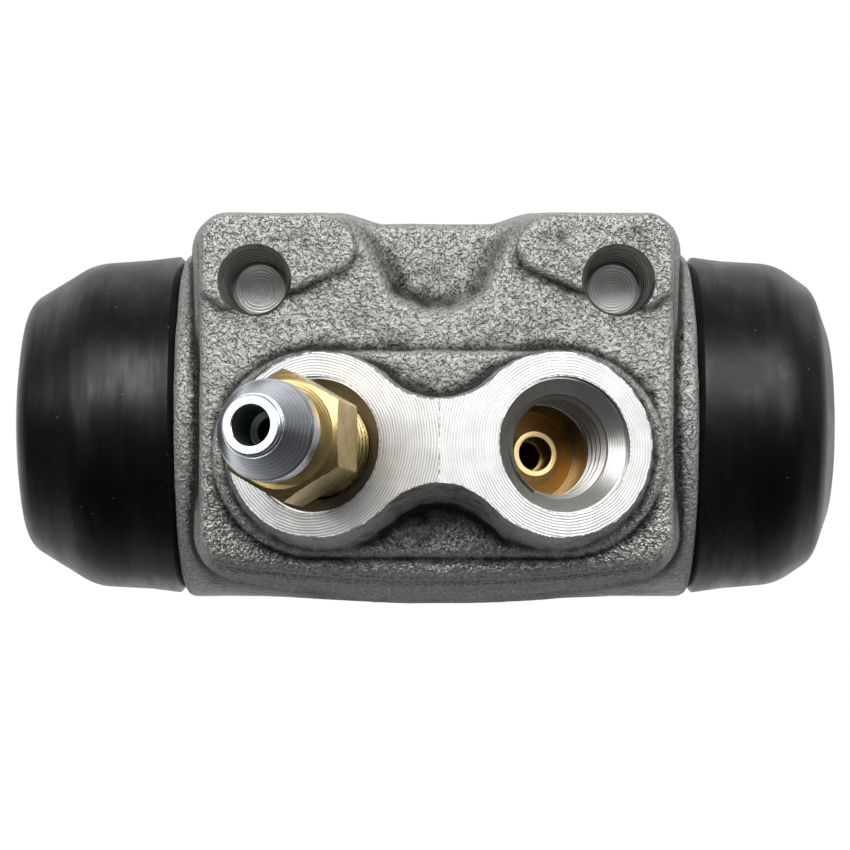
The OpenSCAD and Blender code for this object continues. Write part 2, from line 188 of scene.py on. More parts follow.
class Nodes:
    """The node tree of a material or a world, with short calls to add and link nodes."""

    def __init__(self, owner):
        owner.use_nodes = True
        self.owner = owner
        self.tree = owner.node_tree
        self.shader = self.tree.nodes.get("Principled BSDF")

    def add(self, kind, *inputs, **settings):
        node = self.tree.nodes.new("ShaderNode" + kind)
        for key, value in settings.items():
            setattr(node, key, value)
        for index, value in enumerate(inputs):
            self.put(node.inputs[index], value)
        return node

    def put(self, socket, value):
        if value is None:
            return
        if isinstance(value, bpy.types.Node):
            value = value.outputs[0]
        if isinstance(value, bpy.types.NodeSocket):
            self.tree.links.new(value, socket)
        else:
            socket.default_value = value

    def math(self, operation, *values, clamp=False):
        return self.add("Math", *values, operation=operation, use_clamp=clamp)

    def vector(self, operation, *values):
        return self.add("VectorMath", *values, operation=operation)

    def mix(self, factor, a, b):
        node = self.tree.nodes.new("ShaderNodeMix")
        node.data_type = "RGBA"
        for socket, value in zip((node.inputs[0], node.inputs[6], node.inputs[7]), (factor, a, b)):
            self.put(socket, value)
        return node.outputs[2]

    def ramp(self, value, *stops):
        node = self.add("ValToRGB", value)
        elements = node.color_ramp.elements
        while len(elements) < len(stops):
            elements.new(0.5)
        for element, (position, shade) in zip(elements, stops):
            element.position = position
            element.color = grey(shade)
        return node.outputs[0]

    def noise(self, vector, scale, detail=2.0, roughness=0.5):
        node = self.add("TexNoise")
        self.put(node.inputs["Vector"], vector)
        for key, value in (("Scale", scale), ("Detail", detail), ("Roughness", roughness)):
            node.inputs[key].default_value = value
        return node.outputs[0]

    def cells(self, vector, scale):
        node = self.add("TexVoronoi")
        self.put(node.inputs["Vector"], vector)
        node.inputs["Scale"].default_value = scale
        return node

    def step(self, value, low, high):
        """Smooth step from 0 at low to 1 at high."""
        node = self.add("MapRange", value, low, high, 0.0, 1.0, interpolation_type="SMOOTHSTEP")
        return node.outputs[0]

    def millimetres(self):
        """Object coordinates in millimetres."""
        place = self.add("TexCoord").outputs["Object"]
        node = self.vector("SCALE", place)
        node.inputs["Scale"].default_value = 1 / MM
        return node.outputs[0]

    def bump(self, height, strength, distance, normal=None):
        node = self.add("Bump")
        node.inputs["Distance"].default_value = distance * MM
        self.put(node.inputs["Strength"], strength)
        self.put(node.inputs["Height"], height)
        self.put(node.inputs["Normal"], normal)
        return node.outputs[0]

    def finish(self, **inputs):
        for key, value in inputs.items():
            self.put(self.shader.inputs[key.replace("_", " ")], value)
        return self.owner


def grey(value):
    """An opaque colour from one level or from three."""
    return (value, value, value, 1.0) if isinstance(value, (int, float)) else (*value, 1.0)


def cast_iron():
    """Sand-cast iron: raised plates with dark crevices between them where the grain is high, plain sand elsewhere;
    the crevices, the walls with less grain and the inner corners are darkened as painted shade.
    """
    n = Nodes(bpy.data.materials.new("cast_iron"))
    place = n.millimetres()
    warp = n.add("TexNoise")
    n.put(warp.inputs["Vector"], place)
    warp.inputs["Scale"].default_value = 2.4
    shifted = n.vector("MULTIPLY_ADD", warp.outputs["Color"], (0.35, 0.35, 0.35), place)
    lumps = n.noise(shifted, 2.3, 1.2, 0.55)
    plates = n.step(lumps, 0.44, 0.53)
    edge = n.math("ABSOLUTE", n.math("SUBTRACT", lumps, 0.45))
    cuts_and_shade = n.math("MULTIPLY", n.step(edge, 0.04, 0.0), n.step(n.noise(place, 1.9, 1.0), 0.46, 0.58))
    rise = n.math("MULTIPLY_ADD", plates, 0.55, n.math("MULTIPLY_ADD", lumps, 0.8, n.math("MULTIPLY", cuts_and_shade, -0.4)))
    fine = n.noise(place, 4.0, 2.0, 0.6)
    grain = n.add("Attribute", attribute_name="grain").outputs["Fac"]
    hollow = n.add("Attribute", attribute_name="hollow").outputs["Fac"]
    low = n.step(n.add("SeparateXYZ", place).outputs["Z"], -11.0, -29.0)
    coarse = n.mix(fine, grey((0.31, 0.305, 0.292)), grey((0.5, 0.495, 0.475)))
    # Crevices between the plates are sunk in the bump and also darkened in colour: painted shade.
    coarse = n.mix(n.math("MULTIPLY", cuts_and_shade, 0.6), coarse, grey((0.03, 0.028, 0.026)))
    sand = n.noise(place, 3.0, 0.5)
    # Walls with less grain take this darker sand colour: their finer sand, plus painted shade on walls turned from
    # the front.
    smooth = n.ramp(sand, (0.36, (0.12, 0.119, 0.115)), (0.64, (0.34, 0.335, 0.322)))
    colour = n.mix(grain, smooth, coarse)
    # Inner corners darkened by the hollow attribute: painted shade.
    colour = n.mix(n.math("MULTIPLY", hollow, 0.95), colour, grey((0.025, 0.023, 0.021)))
    lift = n.bump(fine, 0.8, 0.1)
    lift = n.bump(sand, n.math("SUBTRACT", 1.0, grain), 0.25, lift)
    lift = n.bump(rise, n.math("MULTIPLY_ADD", grain, 0.9, 0.1), 0.34, lift)
    shine = n.math("MULTIPLY_ADD", n.math("MULTIPLY_ADD", low, 0.5, 0.6), n.math("MULTIPLY", grain, 0.4), 0.2)
    rough = n.math("MULTIPLY_ADD", grain, n.math("MULTIPLY_ADD", low, -0.12, -0.25), 0.7)
    return n.finish(Base_Color=colour, Roughness=rough, Metallic=shine, Specular_IOR_Level=0.2, Normal=lift)


def turned_metal(name, place, colour, dark, rough, pitch=0.28, depth=0.012, shine=1.0, streaks=0.25, wear_and_painted_light=0.0,
                 stained=0.2, oil_from=None):
    """Metal with the fine rings that a tool leaves round the axis of a place and, given a wear width, edges
    painted with dark chips, partly painted shade, and bright burrs, a painted highlight.
    """
    n = Nodes(bpy.data.materials.new(name))
    axis = tuple(place.to_3x3() @ Vector((0, 0, 1)))
    spot = n.millimetres()
    out = n.vector("SUBTRACT", spot, tuple(place.translation))
    along = n.vector("DOT_PRODUCT", out, axis).outputs["Value"]
    away = n.vector("LENGTH", n.vector("CROSS_PRODUCT", out, axis)).outputs["Value"]
    wander = n.math("MULTIPLY", n.noise(spot, 0.35, 2.0), 0.35)
    travel = n.math("ADD", n.math("ADD", along, away), wander)
    rings = n.math("MULTIPLY_ADD", n.math("SINE", n.math("MULTIPLY", travel, 2 * math.pi / pitch)), 0.5, 0.5)
    broken = n.noise(n.add("CombineXYZ", travel, 0.0, 0.0), 1 / pitch, 2.0)
    marks = n.math("MULTIPLY", rings, n.math("MULTIPLY_ADD", broken, 0.9, 0.35))
    stain = n.noise(spot, 0.5, 3.0, 0.6)
    tone = n.mix(n.math("MULTIPLY", marks, streaks, clamp=True), grey(colour), grey(dark))
    tone = n.mix(n.math("MULTIPLY", n.step(stain, 0.3, 0.75), stained), tone, grey(dark))
    if oil_from is not None:
        tone = n.mix(n.step(along, oil_from, oil_from - 1.5), tone, grey((0.44, 0.33, 0.18)))
    if wear_and_painted_light:
        bevel = n.add("Bevel", wear_and_painted_light * MM, samples=4)
        turn = n.vector("DOT_PRODUCT", bevel, n.add("NewGeometry").outputs["True Normal"]).outputs["Value"]
        edge = n.step(turn, 0.998, 0.95)
        ragged = n.noise(spot, 2.6, 3.0, 0.6)
        # Edges: dark chips, which along the ridge of the port faces stand for painted shade, and bright burrs, a
        # painted highlight.
        tone = n.mix(n.math("MULTIPLY", edge, n.step(ragged, 0.48, 0.53)), tone, grey((0.05, 0.05, 0.048)))
        tone = n.mix(n.math("MULTIPLY", edge, n.step(ragged, 0.46, 0.38)), tone, grey((0.9, 0.9, 0.89)))
    lift = n.bump(marks, 0.8, depth)
    gloss = n.math("MULTIPLY_ADD", stain, 0.12, rough)
    return n.finish(Base_Color=tone, Roughness=gloss, Metallic=shine, Normal=lift)


def rubber(name):
    """Black moulded rubber with shiny rubbed patches round it and specks of dust."""
    n = Nodes(bpy.data.materials.new(name))
    place = n.millimetres()
    round_it = n.vector("MULTIPLY", place, (1.0, 0.13, 0.13))
    streaks = n.noise(round_it, 0.8, 4.0, 0.6)
    blotch = n.noise(place, 0.16, 3.0, 0.6)
    fine = n.noise(place, 4.0, 4.0, 0.7)
    rub = n.math("MULTIPLY", n.step(streaks, 0.32, 0.66), n.step(blotch, 0.35, 0.62))
    base = n.mix(rub, grey((0.0006, 0.0006, 0.0007)), grey((0.0022, 0.0022, 0.0025)))
    specks = n.cells(place, 0.9)
    near = n.math("LESS_THAN", specks.outputs["Distance"], 0.055)
    few = n.math("GREATER_THAN", n.add("SeparateColor", specks.outputs["Color"]).outputs[0], 0.6)
    base = n.mix(n.math("MULTIPLY", n.math("MULTIPLY", near, few), 0.4), base, grey((0.5, 0.5, 0.48)))
    rough = n.math("MULTIPLY_ADD", fine, 0.16, n.math("MULTIPLY_ADD", rub, -0.05, 0.29))
    gloss = n.math("MULTIPLY_ADD", rub, 0.22, 0.27)
    lift = n.bump(fine, 0.12, 0.04)
    lift = n.bump(streaks, 0.1, 0.15, lift)
    return n.finish(Base_Color=base, Roughness=rough, Specular_IOR_Level=gloss, Normal=lift)


def both_sides(name, place, *looks, **options):
    """One turned metal for each side, with its rings round that side's place."""
    return {side: turned_metal(f"{name}_{word}", place(side), *looks, **options) for side, word in SIDES}


IRON_FACE, IRON_RING = (0.74, 0.74, 0.73), (0.16, 0.16, 0.158)
# Ring strength on each port face: real rings, and the right face's fainter rings leave it lighter, a painted
# sheen.
FACE_RINGS_AND_SHEEN = {-1: 0.7, 1: 0.42}
CAST = cast_iron()
PORT_IRON = {side: turned_metal(f"port_iron_{name}", port_place(side), IRON_FACE, IRON_RING, 0.36, shine=0.75,
                                depth=0.02, streaks=FACE_RINGS_AND_SHEEN[side], wear_and_painted_light=0.25) for side, name in SIDES}
# Inside the mounting holes the walls and thread are darker copies of the machined iron, painted shade, and the end
# is a lighter copy, painted light.
HOLE_IRON_SHADED = both_sides("hole_iron_shaded", hole_place, (0.38, 0.375, 0.36), (0.1, 0.098, 0.09), 0.35, pitch=0.42,
                       depth=0.02, shine=0.8)
HOLE_THREAD_SHADED = both_sides("hole_thread_shaded", hole_place, (0.2, 0.196, 0.186), (0.07, 0.068, 0.064), 0.35, shine=0.8)
HOLE_END_LIT = both_sides("hole_end", hole_place, (0.97, 0.965, 0.95), (0.35, 0.35, 0.34), 0.3, pitch=0.24,
                      depth=0.03, shine=0.45, streaks=0.5)
PORT_BORE = both_sides("port_bore", port_place, (0.62, 0.61, 0.59), (0.1, 0.098, 0.092), 0.24, pitch=0.36,
                       depth=0.015, shine=0.95, streaks=0.5, oil_from=-7.2)
# Darker copy of the port's iron for the body of the inlet thread: painted shade between its crests.
THREAD_ROOT_SHADED = turned_metal("thread_root_shaded", port_place(1), (0.36, 0.35, 0.33), (0.1, 0.097, 0.09), 0.3, shine=0.95)
BORE_IRON = turned_metal("bore_iron", bore_place(1), (0.45, 0.45, 0.445), (0.25, 0.25, 0.245), 0.35)
BRASS = turned_metal("brass", port_place(-1), (0.64, 0.48, 0.2), (0.15, 0.095, 0.035), 0.25, pitch=0.25,
                     depth=0.008, streaks=0.3, wear_and_painted_light=0.15, stained=0.45)
# Lighter copy of the brass for the seat deep in the inlet: painted light.
SEAT_BRASS_LIT = turned_metal("seat_brass_lit", port_place(1), (0.74, 0.55, 0.27), (0.40, 0.28, 0.12), 0.28, pitch=0.22)
ZINC = turned_metal("zinc_steel", port_place(-1), (0.56, 0.585, 0.63), (0.22, 0.235, 0.265), 0.18, pitch=0.22,
                    depth=0.007, stained=0.35)
# Darker copy of the zinc steel for the nipple's bore: painted shade inside it.
ZINC_BORE_SHADED = turned_metal("zinc_bore_shaded", port_place(-1), (0.26, 0.285, 0.285), (0.08, 0.088, 0.09), 0.35, pitch=0.5)
ALUMINIUM = turned_metal("aluminium", bore_place(1), (0.74, 0.74, 0.73), (0.5, 0.5, 0.5), 0.34)
PRESSED = turned_metal("pressed_steel", bore_place(1), (0.6, 0.6, 0.6), (0.4, 0.4, 0.4), 0.3, pitch=0.9)
RUBBER = rubber("boot_rubber")
SEAL = rubber("seal_rubber")


# Cast body


def round_max(a, b, r):
    """Intersection of two distance fields, with outer corners rounded to radius r."""
    u = np.maximum(a + r, 0)
    v = np.maximum(b + r, 0)
    return np.minimum(np.maximum(a, b), -r) + np.sqrt(u * u + v * v)


def round_min(a, b, r):
    """Union of two distance fields, with a fillet of radius r between them."""
    return -round_max(-a, -b, r)


def rise(value, start, width):
    """Straight ramp from 0 at start to 1 after a width."""
    return np.clip((value - start) / width, 0, 1)


def polygon_distance(points, x, z):
    """Signed distance to a closed polygon, negative inside."""
    nearest = np.full(np.broadcast(x, z).shape, 1e9)
    inside = np.zeros(nearest.shape, bool)
    for (ax, az), (bx, bz) in zip(points, points[1:] + points[:1]):
        ex, ez = bx - ax, bz - az
        t = np.clip(((x - ax) * ex + (z - az) * ez) / (ex * ex + ez * ez), 0, 1)
        nearest = np.minimum(nearest, (x - ax - t * ex) ** 2 + (z - az - t * ez) ** 2)
        if ez != 0:
            inside ^= ((az > z) != (bz > z)) & (x < ax + (z - az) * ex / ez)
    return np.where(inside, -1, 1) * np.sqrt(nearest)


def squared_frequency(shape, step):
    """Squared frequency of each term in the Fourier transform of a grid."""
    axes = (np.fft.fftfreq(shape[0], step)[:, None, None], np.fft.fftfreq(shape[1], step)[None, :, None],
            np.fft.rfftfreq(shape[2], step)[None, None, :])
    return sum(a * a for a in axes)


def band_noise(shape, step, wavelength, seed):
    """Smooth random field with features of about one wavelength, spread about 1."""
    spectrum = np.fft.rfftn(np.random.default_rng(seed).standard_normal(shape))
    frequency = np.sqrt(squared_frequency(shape, step)) * wavelength
    field = np.fft.irfftn(spectrum * np.exp(-((frequency - 1) / 0.45) ** 2), shape)
    return field / field.std()


def port_boss_field(x, y, z):
    """Drafted bow-tie column: two lobes and a hollow waist, in the tilted frame of the boss."""
    out, up = y - BOSS_Y, z - BOSS_Z
    a = np.abs(x - BOSS_X)
    b = np.abs(up * math.cos(BOSS_RISE) + out * math.sin(BOSS_RISE))
    h = up * math.sin(BOSS_RISE) - out * math.cos(BOSS_RISE)
    ridge_h = PORT_H + PORT_X * math.tan(PORT_SPLAY)
    low = WAIST + (ridge_h - PORT_H) * math.tan(BOSS_DRAFT)
    hollow_r = (LOBE_X ** 2 + low ** 2 - LOBE_R ** 2) / (2 * (LOBE_R - low))
    lift = low + hollow_r
    lobe = np.hypot(a - LOBE_X, b) - LOBE_R
    hollow = hollow_r - np.hypot(a, b - lift)
    outline = np.where(a / LOBE_X + b / lift < 1, hollow, lobe)
    wall = (outline - (PORT_H - h) * math.tan(BOSS_DRAFT)) * math.cos(BOSS_DRAFT)
    return np.maximum(wall, np.maximum(h - 12, -h - 2))


def cast_field(x, y, z):
    """Distance field of the raw casting, before any machining."""
    side = np.abs(x) - PLATE_HALF_W
    top = z - PLATE_TOP
    low = np.hypot(x, z - (LOW_EDGE_R - PLATE_LOW)) - LOW_EDGE_R
    outline = round_max(round_max(side, top, 2.5), low, 2.5)
    parting = (BORE_Y - PLATE_Y) * math.tan(DRAFT)
    behind_parting = parting * (BORE_Y + BACK_DEPTH - y) / BACK_DEPTH
    grow = np.where(y < BORE_Y, (y - PLATE_Y) * math.tan(DRAFT), behind_parting)
    wall = (outline - grow) * math.cos(DRAFT)

    half_notch = [(1.0, -0.65), (2.9, 0.2), (5, 4.6), (9, 14)]
    notch_path = [(-a, b) for a, b in reversed(half_notch)] + half_notch
    notch = polygon_distance(notch_path, x, z) - 1.2 - np.maximum(NOTCH_Y - y, -3) * math.tan(NOTCH_DRAFT)
    ears_2d = round_max(wall, -notch * math.cos(NOTCH_DRAFT), 3.0)
    ears = round_max(ears_2d, PLATE_Y - y, 0.8)
    floor_top = z - 6.1 - (y - NOTCH_Y) * math.tan(math.radians(5))
    floor = round_max(round_max(wall, floor_top, 0.8), NOTCH_Y - y, 0.9)
    field = round_min(ears, floor, 1.2)
    behind = np.maximum(EAR_DEPTH - y, -6 - z)
    field = round_max(round_max(field, -behind, 1.0), y - BORE_Y - BACK_DEPTH, 1.0)

    pad_path = [(30, -1.2), (22.7, -1.5), (20.9, -2.7), (18, -1), (14.5, -0.98), (8.9, 1.48), (7.9, 3), (8.3, 4.6),
                (9.4, 5.9), (9.4, 14), (30, 14)]
    pad_2d = polygon_distance(pad_path, np.abs(x), z)
    pad = round_max(round_max(ears_2d, pad_2d - 0.15 * y, 0.5), -y, 0.45)
    field = round_min(field, np.maximum(pad, y - 3), 0.35)

    step = np.hypot(np.maximum(np.abs(x - BOSS_X) - PORT_X, 0), z - STEP_Z) - STEP_R
    step = round_max(step - 0.15 * (y - BOSS_Y), BOSS_Y - y, 0.35)
    field = round_min(field, np.maximum(step, y - 5), 0.3)
    field = round_min(field, port_boss_field(x, y, z), 0.7)

    barrel = np.hypot(y - BORE_Y, z - BORE_Z) - BARREL_R
    barrel = round_max(barrel, np.abs(x) - BARREL_HALF, 1.1)
    return round_min(field, barrel, 0.5)


def smoothed(field, step, spread):
    """The field, blurred over a spread in millimetres."""
    decay = np.exp(-2 * (math.pi * spread) ** 2 * squared_frequency(field.shape, step))
    return np.fft.irfftn(np.fft.rfftn(field) * decay, field.shape)


def sampled(field, start, step, spots):
    """Values of a grid at free spots, by linear interpolation."""
    place = np.clip((spots - start) / step, 0, np.array(field.shape) - 1.001)
    base = place.astype(int)
    part = place - base
    total = np.zeros(len(spots))
    for corner in np.ndindex(2, 2, 2):
        share = np.prod(np.where(corner, part, 1 - part), axis=1)
        total += share * field[tuple((base + corner).T)]
    return total


def raw_casting(step=0.36):
    """Mesh of the casting, with the unevenness of a sand mould, and a function that tells how hollow a spot is,
    for the painted shade in its inner corners.
    """
    spans = ((-28, 28), (-10, 41), (-33.5, 10.5))
    x, y, z = (np.arange(low, high, step) for low, high in spans)
    field = cast_field(x[:, None, None], y[None, :, None], z[None, None, :])
    solid = smoothed(np.clip(field, -2, 2), step, 0.7)
    start = np.array([x[0], y[0], z[0]])
    facing = np.abs(np.gradient(field, step, axis=1))
    rough = rise(facing, 0.55, 0.35)
    field += 0.022 * band_noise(field.shape, step, 6.0, 3)
    boss_walls = rise(PLATE_Y - y, 0, 1)[None, :, None] * (1 - rough)
    field += (0.008 + 0.028 * rough + 0.03 * boss_walls) * band_noise(field.shape, step, 1.5, 5)
    grid = openvdb.FloatGrid(2.0)
    grid.copyFromArray(np.clip(field, -2, 2).astype(np.float32))
    points, quads = grid.convertToQuads(0.0)
    points = points * step + start
    body = mesh_object("cast_body", [tuple(p) for p in points.tolist()], [tuple(q) for q in quads.tolist()])

    def crease_shade(spots):
        return rise(-sampled(solid, start, step, spots), 0, 0.2)

    return body, crease_shade


def cutter(obj, material):
    """The tool for a cut, with the material that the cut leaves."""
    obj.data.materials.append(material)
    return obj


def port_cutter(side):
    """Port with its mouth, and the drilled way to the bore; the inlet has a ledge and the bleed port a cone."""
    path = [(4, 0, 0), (4, PORT_MOUTH_R, 0), (MOUTH_Z, PORT_MOUTH_R, 0), (MOUTH_Z, PORT_MOUTH_R - 0.2, 0),
            (THREAD_Z, PORT_R + 0.15, 0), (THREAD_END, PORT_R, 0)]
    if side > 0:
        seat_r = PORT_R - 0.54
        path += [(LEDGE_Z, PORT_R - 0.05, 0), (LEDGE_Z, seat_r, 0), (PORT_END, seat_r, 0),
                 (PORT_END, INLET_WAY_R, 0), (WAY_END, INLET_WAY_R, 0)]
    else:
        path += [(THREAD_END, 4.4, 0), (PORT_END, BLEED_WAY_R, 0), (WAY_END, BLEED_WAY_R, 0)]
    return turned("port_cutter", path + [(WAY_END, 0, 0)], port_place(side))


def hole_cutter(side):
    path = [(-1, 0, 0), (-1, HOLE_MOUTH_R + 0.2, 0), (0.3, HOLE_MOUTH_R - 0.1, 0), (1.2, HOLE_R + 0.35, 0),
            (HOLE_DEPTH, HOLE_R - 0.15, 0), (HOLE_DEPTH, 0, 0)]
    return turned("hole_cutter", path, hole_place(side), segments=96)


def hole_end_cutter(side):
    tap_r = HOLE_R - 0.5
    path = [(HOLE_DEPTH - 1, 0, 0), (HOLE_DEPTH - 1, tap_r, 0), (HOLE_DEPTH + 0.6, tap_r, 0.2),
            (HOLE_DEPTH + 1.2, 0, 0)]
    return turned("hole_end_cutter", path, hole_place(side), segments=96)


def cast_body():
    """The casting with its machined necks, port faces, ports, mounting holes and bore."""
    body, crease_shade = raw_casting()
    body.data.materials.append(CAST)
    half = [(BARREL_HALF - 3, GROOVE_R, 0), (BARREL_HALF + 2.2, GROOVE_R, 0), (BARREL_HALF + 2.7, RIM_R, 0),
            (NECK_END - 0.4, RIM_R, 0), (NECK_END, RIM_R - 0.4, 0), (NECK_END, 0, 0)]
    neck = [(-a, r, c) for a, r, c in reversed(half)] + half
    carve(body, cutter(turned("neck", neck, bore_place(1)), BORE_IRON), "UNION")
    for side, _ in SIDES:
        face = box("face_cutter", (-40, -14, 0), (40, 14, 20), port_place(side))
        carve(body, cutter(face, PORT_IRON[side]))
    for side, _ in SIDES:
        carve(body, cutter(port_cutter(side), PORT_BORE[side]))
        carve(body, cutter(hole_cutter(side), HOLE_IRON_SHADED[side]))
        carve(body, cutter(hole_end_cutter(side), HOLE_END_LIT[side]))
    end, flare = NECK_END + 1, 1.8
    bore = [(-end, 0, 0), (-end, BORE_R + flare, 0), (-end + flare, BORE_R, 0), (end - flare, BORE_R, 0),
            (end, BORE_R + flare, 0), (end, 0, 0)]
    carve(body, cutter(turned("bore_cutter", bore, bore_place(1)), BORE_IRON))
    crease(body, 32)
    mark_grain(body.data, crease_shade)
    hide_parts("cylinder_body")
    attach(body, "cylinder")


def mark_grain(mesh, crease_shade):
    """Grain is coarsest on the front, less so on the other outer walls, which with less grain also get painted
    shade; hollow marks inner corners, where shade is painted.
    """

    def read(key):
        values = np.empty(len(mesh.vertices) * 3)
        mesh.vertices.foreach_get(key, values)
        return values.reshape(-1, 3)

    spots, normals = read("co") / MM, read("normal")
    facing = rise(np.abs(normals[:, 1]), 0.5, 0.35)
    from_axis = np.hypot(spots[:, 1] - BORE_Y, spots[:, 2] - BORE_Z)
    on_barrel = np.clip(1 - np.abs(from_axis - BARREL_R) / 0.3, 0, 1) * (np.abs(normals[:, 0]) < 0.6)
    on_sides = rise(np.abs(normals[:, 0]), 0.5, 0.3) * (np.abs(spots[:, 0]) > PLATE_HALF_W - 1)
    on_boss = rise(PLATE_Y - spots[:, 1], 0, 1.5) * (spots[:, 2] < -HOLE_MOUTH_R)
    on_top = rise(normals[:, 2], 0.6, 0.3) * (spots[:, 2] > PLATE_TOP - 2)
    grain = np.maximum.reduce([facing, 0.75 * on_barrel, 0.6 * on_sides, 0.6 * on_top, 0.6 * on_boss])
    # The hollow attribute carries the painted shade of inner corners.
    for name, values in (("grain", grain), ("hollow", crease_shade(spots))):
        layer = mesh.attributes.new(name, "FLOAT", "POINT")
        layer.data.foreach_set("value", values.astype(np.float32))


# Threads


def thread(name, place, wall_r, crest_r, start, end, material, body, pitch=1.0, per_turn=72, taper=0.0,
           flank=0.36, wear_and_painted_light=None):
    """Helical ridge on a round wall, which runs out at both ends; its crest can have a lighter material: wear and
    a painted highlight.
    """
    crest_half, sunk = 0.12, 0.06
    turns = (end - start) / pitch
    count = int(turns * per_turn)
    points, faces = [], []
    for k in range(count + 1):
        angle = 2 * math.pi * k / per_turn
        height = start + pitch * k / per_turn
        fade = min(1.0, 6 * min(k, count - k) / per_turn + 0.05)
        wall = wall_r + taper * (height - start)
        crest = wall + (crest_r - wall_r) * fade
        root = wall + math.copysign(sunk, wall_r - crest_r)
        for r, lift in ((root, -flank), (crest, -crest_half), (crest, crest_half), (root, flank)):
            points.append((r * math.cos(angle), r * math.sin(angle), height + lift * pitch))
    for k in range(count):
        for j in range(4):
            faces.append((4 * k + j, 4 * k + (j + 1) % 4, 4 * k + 4 + (j + 1) % 4, 4 * k + 4 + j))
    faces += [(0, 1, 2, 3), tuple(4 * count + j for j in (3, 2, 1, 0))]
    obj = mesh_object(name, points, faces, place, 30)
    obj.data.materials.append(material)
    if wear_and_painted_light:
        obj.data.materials.append(wear_and_painted_light)
        # Crest faces take the lighter material: painted highlight along the crest, with wear.
        for k in range(count):
            obj.data.polygons[4 * k + 1].material_index = 1
    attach(obj, body)


# Fittings


def stand_for(obj, material, node, body):
    """Gives obj one material and lets it stand for a node of the frame."""
    obj.data.materials.clear()
    obj.data.materials.append(material)
    obj.data.polygons.foreach_set("material_index", [0] * len(obj.data.polygons))
    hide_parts(node)
    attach(obj, body)


def bleed_screw():
    """Conical tip, threaded shank and chamfered hexagon, bored for the nipple."""
    corner_r, chamfer_r = HEX_AF / 2 / math.cos(math.pi / 6), HEX_AF / 2 - 0.1
    shank_r, socket_r, way_r = PORT_R - 0.5, 3, 1.3
    place = port_place(-1)
    turns = [math.radians(30 + 60 * k) for k in range(6)]
    outline = rounded([(corner_r * math.cos(turn), corner_r * math.sin(turn), 0.3) for turn in turns], 4)
    n = len(outline)
    points = [(px, py, h) for h in (HEX_GAP, HEX_TOP) for px, py in outline]
    faces = [tuple(range(n)), tuple(range(2 * n - 1, n - 1, -1))]
    faces += [(k, (k + 1) % n, n + (k + 1) % n, n + k) for k in range(n)]
    screw = mesh_object("bleed_screw_brass", points, faces, place)
    envelope = [(HEX_GAP - 0.1, 0, 0), (HEX_GAP - 0.1, chamfer_r - 0.3, 0), (HEX_GAP + 0.5, corner_r + 0.2, 0),
                (HEX_TOP - 0.65, corner_r + 0.2, 0), (HEX_TOP, chamfer_r - 0.25, 0.12), (HEX_TOP, 0, 0)]
    carve(screw, turned("hex_envelope", envelope, place, 160), "INTERSECT")
    shank = [(PORT_END + 0.5, 0, 0), (PORT_END + 0.5, 1.7, 0), (THREAD_END - 0.3, 4, 0), (-7.2, 4, 0),
             (-6.7, shank_r, 0), (HEX_GAP + 0.5, shank_r, 0), (HEX_GAP + 0.5, 0, 0)]
    carve(screw, turned("shank", shank, place), "UNION")
    hollow = [(HEX_TOP + 1, 0, 0), (HEX_TOP + 1, socket_r, 0), (HEX_TOP - 4, socket_r, 0),
              (HEX_TOP - 4, way_r, 0), (-9.2, way_r, 0), (-9.2, 0, 0)]
    carve(screw, turned("hollow", hollow, place))
    crease(screw, 28)
    stand_for(screw, BRASS, "bleed_screw", "bleed_screw")
    thread("bleed_screw_thread", place, shank_r, PORT_R - 0.06, -6.4, 2.2, BRASS, "bleed_screw")


def bleed_nipple():
    """Hose nipple: a spigot in the screw, a neck, and a barb that tapers to the bored tip."""
    foot, seat, tip = HEX_TOP - 3.9, HEX_TOP + 0.03, HEX_TOP + NIPPLE_H
    spigot_r, neck_r, tip_r, bore_r, way_r = 2.96, 3.3, 2.85, 1.87, 1.3
    path = [(foot, way_r, 0), (foot, spigot_r, 0), (seat, spigot_r, 0), (seat, neck_r, 0),
            (HEX_TOP + 1.6, neck_r, 0.3), (HEX_TOP + 2.3, NIPPLE_R - 0.15, 0.1), (HEX_TOP + 2.5, NIPPLE_R, 0.15),
            (HEX_TOP + 4.2, NIPPLE_R, 0.3), (HEX_TOP + 4.5, NIPPLE_R - 0.2, 0.4), (tip - 0.7, 3.05, 0.05),
            (tip - 0.7, tip_r, 0.05), (tip - 0.15, tip_r, 0.08), (tip, 2.7, 0.08), (tip, 1.95, 0.05),
            (tip - 0.1, bore_r, 0), (tip - 5, bore_r, 0), (tip - 5.4, way_r, 0)]
    nipple = turned("bleed_nipple_steel", path, port_place(-1), 160)
    stand_for(nipple, ZINC, "bleed_nipple", "bleed_nipple")
    # The bore's faces take the darker steel: painted shade.
    nipple.data.materials.append(ZINC_BORE_SHADED)
    back = port_place(-1).inverted()
    for face in nipple.data.polygons:
        spot = back @ (face.center / MM)
        if math.hypot(spot.x, spot.y) < bore_r + 0.03:
            face.material_index = 1


def tube_seat():
    """Ring with a cone, which a flared tube would be pressed on."""
    base, base_r, way_r = PORT_END + 0.02, PORT_R - 0.58, 1.7
    path = [(base, way_r, 0), (base, base_r, 0), (base + 1.5, base_r, 0.1), (base + 1.7, base_r - 0.35, 0.1),
            (base + 3.1, 2.25, 0.08), (base + 3.1, way_r, 0.08)]
    seat = turned("inlet_tube_seat_brass", path, port_place(1))
    stand_for(seat, SEAT_BRASS_LIT, "inlet_tube_seat", "cylinder")


# Pistons, dust boots and spring


